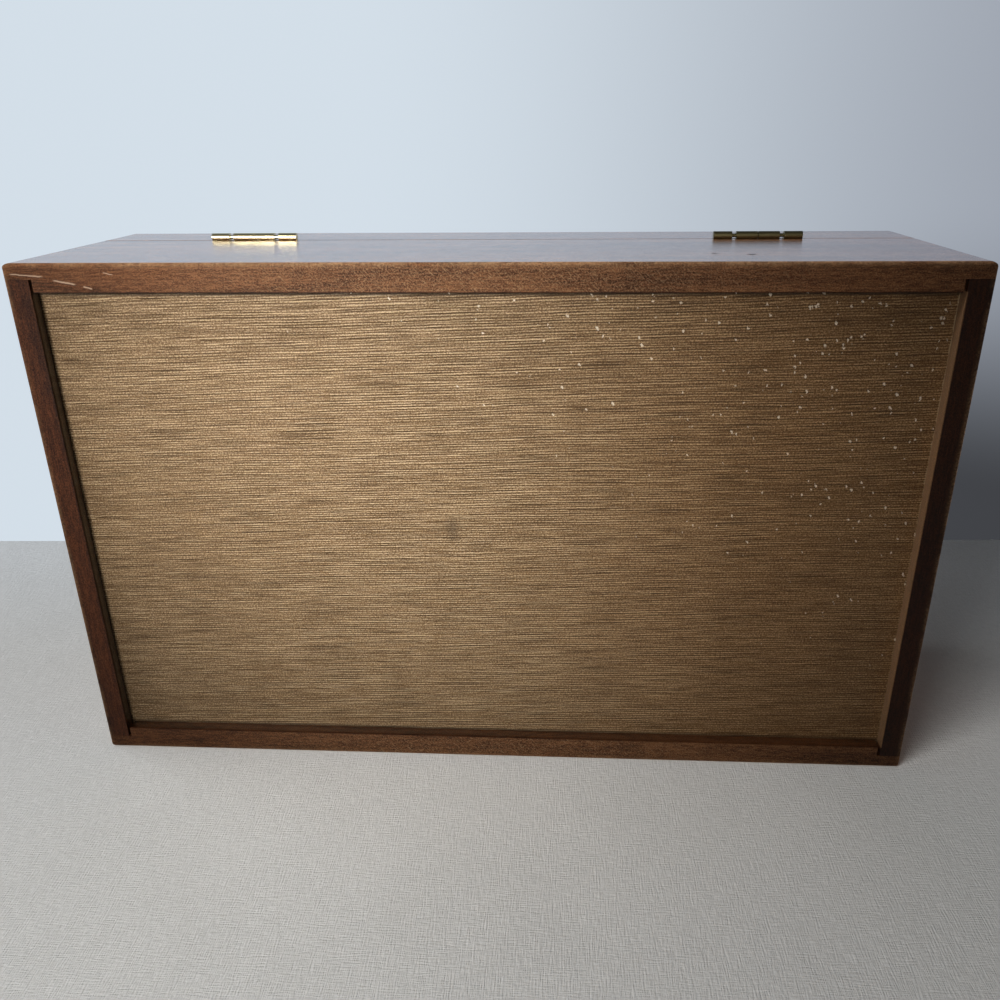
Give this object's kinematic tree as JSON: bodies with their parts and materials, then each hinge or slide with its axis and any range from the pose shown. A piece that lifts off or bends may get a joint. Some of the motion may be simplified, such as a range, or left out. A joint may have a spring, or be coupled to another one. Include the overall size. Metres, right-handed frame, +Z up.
{
  "type": "silverware chest",
  "caption": "Shallow wooden flatware chest with a flush hinged lid on brass butt hinges, a recessed bottom panel, cloth linings and slotted racks for forks, spoons and knives.",
  "frame": {"origin": "middle of the underside, on the plane of the lower rim", "axes": "+Z up towards the lid, +Y towards the hinged back, +X towards the right seen from the front"},
  "size_m": [0.42, 0.2596, 0.1254],
  "materials": {
    "box_boards": "dark walnut stain under gloss lacquer, worn paler at the edges",
    "lid_boards": "dark walnut stain under gloss lacquer",
    "lid_panel": "dark walnut stain under gloss lacquer",
    "bottom_plywood": "open-pored plywood with a thin tan stain",
    "lining_flannel": "brushed brown-red flannel",
    "rack_flannel": "brushed brown-red flannel drawn over wood",
    "hinge_brass": "polished brass, lightly tarnished",
    "screw_brass": "polished brass"
  },
  "bodies": {
    "chest_box": {"box_back_board": "box_boards", "box_front_board": "box_boards", "box_left_board": "box_boards", "box_right_board": "box_boards", "bottom_panel": "bottom_plywood", "floor_lining": "lining_flannel", "box_back_lining": "lining_flannel", "box_front_lining": "lining_flannel", "box_left_lining": "lining_flannel", "box_right_lining": "lining_flannel", "well_divider": "rack_flannel", "front_rack_bar": "rack_flannel", "back_rack_bar": "rack_flannel", "left_hinge_box_leaf": "hinge_brass", "right_hinge_box_leaf": "hinge_brass", "left_hinge_pin": "hinge_brass", "right_hinge_pin": "hinge_brass", "box_hinge_screws": "screw_brass"},
    "lid": {"lid_back_board": "lid_boards", "lid_front_board": "lid_boards", "lid_left_board": "lid_boards", "lid_right_board": "lid_boards", "lid_top_panel": "lid_panel", "lid_top_lining": "lining_flannel", "lid_back_lining": "lining_flannel", "lid_front_lining": "lining_flannel", "lid_left_lining": "lining_flannel", "lid_right_lining": "lining_flannel", "front_knife_bar": "rack_flannel", "back_knife_bar": "rack_flannel", "left_hinge_lid_leaf": "hinge_brass", "right_hinge_lid_leaf": "hinge_brass", "lid_hinge_screws": "screw_brass"}
  },
  "joints": [
    {"name": "lid_hinge", "type": "hinge", "parent": "chest_box", "child": "lid", "pos_m": [0, 0.1296, 0.0872], "axis": [-1, 0, 0], "range_deg": [0, 105]}
  ]
}
